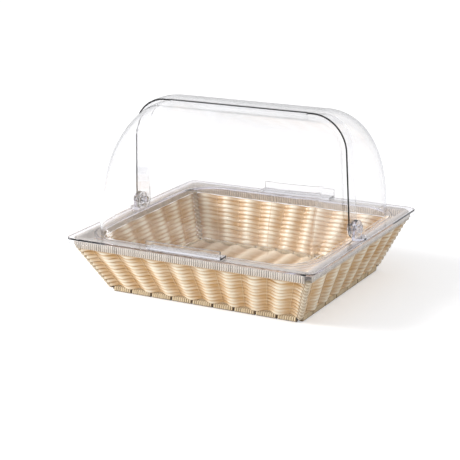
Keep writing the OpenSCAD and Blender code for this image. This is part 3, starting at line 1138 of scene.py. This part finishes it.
@dataclass
class ClearPiece:
    """A clear moulding whose CAD edges are sharp: the same solid with its edges rounded."""

    node: str
    body: str
    slot: str
    edge: float = 0.5 * MM
    seat: float | None = None
    lift: float = 0.15 * MM
    seat_band: float = 0.01 * MM
    weld: float = 0.001 * MM
    flat_angle: float = 0.4
    smooth_angle: float = 35.0
    round_angle: float = 40.0
    segments: int = 2

    def build(self, material: bpy.types.Material) -> bpy.types.Object:
        """Rounds the piece's edges and lets it stand for its CAD node.

        Args:
            material: Its clear finish.

        Returns:
            The rounded piece.
        """
        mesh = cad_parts[self.node].data.copy()
        work = bmesh.new()
        work.from_mesh(mesh)
        bmesh.ops.remove_doubles(work, verts=work.verts[:], dist=self.weld)
        flat = math.radians(self.flat_angle)
        bmesh.ops.dissolve_limit(work, angle_limit=flat, verts=work.verts[:], edges=work.edges[:])
        if self.seat is not None:
            for point in work.verts:
                if abs(point.co.z - self.seat) < self.seat_band:
                    point.co.z += self.lift
        for face in work.faces:
            face.smooth = True
        smooth = math.radians(self.smooth_angle)
        for line in work.edges:
            line.smooth = len(line.link_faces) == 2 and line.calc_face_angle(0.0) < smooth
        work.to_mesh(mesh)
        work.free()
        mesh.materials.clear()
        mesh.materials.append(material)
        made = bpy.data.objects.new(f"{self.node}_moulding", mesh)
        bpy.context.collection.objects.link(made)
        rounding = made.modifiers.new("edges", "BEVEL")
        rounding.width = self.edge
        rounding.segments = self.segments
        rounding.limit_method = "ANGLE"
        rounding.angle_limit = math.radians(self.round_angle)
        rounding.harden_normals = True
        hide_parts(self.node)
        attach(made, self.body)
        LOG.info("%s: edges rounded by %.1f mm", made.name, self.edge / MM)
        return made


@dataclass
class Cover:
    """The clear frame, its two rolling shells and their pivots."""

    shell_nodes: tuple[str, ...] = ("front_shell", "rear_shell")
    trim_nodes: tuple[str, ...] = (
        "left_pivot_pin", "right_pivot_pin",
        "left_pin_cap", "right_pin_cap",
        "left_ear_washer", "right_ear_washer",
    )

    def build(self) -> None:
        """Rounds the mouldings' edges and dresses the other clear nodes."""
        small, handle = SMALL_PLASTIC.material(), HANDLE_PLASTIC.material()
        ClearPiece("cover_frame", "cover", "clear_frame", 0.6 * MM).build(FRAME_PLASTIC.material())
        flange_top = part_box("cover_frame")[1].z
        for side in ("left", "right"):
            ClearPiece(f"{side}_pivot_bracket", "cover", "clear_small", seat=flange_top).build(small)
        for end in ("front", "rear"):
            ClearPiece(f"{end}_handle", f"{end}_roller", "clear_small", 0.5 * MM).build(handle)
        dress(self.shell_nodes, SHELL_PLASTIC.material())
        dress(self.trim_nodes, small)


# ---------------------------------------------------------------- stage


@dataclass
class Studio:
    """The camera, the soft lamp, the white world and the table top."""

    image: float = 460.0
    focal_px: float = 1464.107
    azimuth: float = 29.818
    elevation: float = 16.856
    roll: float = -1.285
    distance: float = 2.203214
    shift_right: float = -0.022794
    shift_up: float = 0.075237
    sensor: float = 36.0
    floor_half: float = 6.0
    ambient: float = 0.67
    gloss_share: float = 0.4
    floor_glow: float = 0.37
    floor_color: tuple[float, float, float] = (0.86, 0.86, 0.87)
    view_end: float = 50.0
    lamp_spot: tuple[float, float, float] = (-2.5, -1.35, 1.6)
    lamp_target: tuple[float, float, float] = (0.0, 0.0, 0.1)
    lamp_size: float = 1.5
    lamp_power: float = 96.0

    def camera(self) -> None:
        """Places the camera at the viewpoint that was fitted to the photograph."""
        a, e, roll = (math.radians(v) for v in (self.azimuth, self.elevation, self.roll))
        back = Vector((math.sin(a) * math.cos(e), -math.cos(a) * math.cos(e), math.sin(e)))
        right = Vector((math.cos(a), math.sin(a), 0))
        up = back.cross(right)
        spot = back * self.distance + right * self.shift_right + up * self.shift_up
        level = right * math.cos(roll) + up * math.sin(roll)
        upright = up * math.cos(roll) - right * math.sin(roll)
        data = bpy.data.cameras.new("camera")
        data.sensor_width = self.sensor
        data.lens = self.focal_px / self.image * self.sensor
        data.clip_end = self.view_end
        made = bpy.data.objects.new("camera", data)
        made.matrix_world = Matrix((
            (level.x, upright.x, back.x, spot.x),
            (level.y, upright.y, back.y, spot.y),
            (level.z, upright.z, back.z, spot.z),
            (0, 0, 0, 1),
        ))
        bpy.context.collection.objects.link(made)
        bpy.context.scene.camera = made

    def lamp(self) -> None:
        """Hangs the square soft lamp and turns it to the object."""
        data = bpy.data.lights.new("key", "AREA")
        data.size = self.lamp_size
        data.energy = self.lamp_power
        made = bpy.data.objects.new("key", data)
        made.location = self.lamp_spot
        ahead = Vector(self.lamp_target) - Vector(self.lamp_spot)
        made.rotation_euler = ahead.to_track_quat("-Z", "Y").to_euler()
        bpy.context.collection.objects.link(made)

    def _seen_directly(self, shader: Shader) -> bpy.types.NodeSocket:
        """Tells rays that see a surface from those that only light by it.

        Args:
            shader: Where the nodes go.

        Returns:
            1 for rays from the camera or through clear plastic, less for those off gloss, 0 for others.
        """
        path = shader.node("LightPath")
        seen = shader.math("MAXIMUM", path.outputs["Is Camera Ray"], path.outputs["Is Transmission Ray"])
        gloss = shader.math("MULTIPLY", path.outputs["Is Glossy Ray"], self.gloss_share)
        return shader.math("MAXIMUM", seen, gloss)

    def world(self) -> None:
        """A plain pale world: white where it is seen, softer where it lights."""
        made = bpy.data.worlds.new("studio")
        made.use_nodes = True
        bpy.context.scene.world = made
        shader = Shader(made.node_tree)
        seen = self._seen_directly(shader)
        strength = shader.math("ADD", self.ambient, shader.math("MULTIPLY", seen, 1.0 - self.ambient))
        sky = shader.node("Background")
        sky.inputs["Color"].default_value = (1, 1, 1, 1)
        shader.put(sky.inputs["Strength"], strength)
        out = shader.node("OutputWorld")
        shader.put(out.inputs["Surface"], sky.outputs[0])

    def floor(self) -> None:
        """A white table top that keeps the object's shadow."""
        mesh = bpy.data.meshes.new("table_top")
        half = self.floor_half
        corners = [(-half, -half, 0), (half, -half, 0), (half, half, 0), (-half, half, 0)]
        mesh.from_pydata(corners, [], [(0, 1, 2, 3)])
        made = bpy.data.objects.new("table_top", mesh)
        bpy.context.collection.objects.link(made)
        material, shader = new_material("table_top")
        matte = shader.node("BsdfDiffuse")
        shader.put(matte.inputs["Color"], self.floor_color)
        glow = shader.node("Emission")
        strength = shader.math("MULTIPLY", self._seen_directly(shader), self.floor_glow)
        shader.put(glow.inputs["Strength"], strength)
        both = shader.node("AddShader")
        shader.put(both.inputs[0], matte.outputs[0])
        shader.put(both.inputs[1], glow.outputs[0])
        shader.close(both.outputs[0])
        mesh.materials.append(material)

    def build(self) -> None:
        """Sets up the whole stage."""
        bpy.context.scene.view_settings.view_transform = "Standard"
        self.camera()
        self.world()
        self.floor()
        self.lamp()
        LOG.info("stage: camera, world, floor and lamp")


def main() -> None:
    """Builds the stage, the basket and the cover in order."""
    Studio().build()
    Basket(BasketPlan()).build()
    Cover().build()


if __name__ == "__main__":
    main()
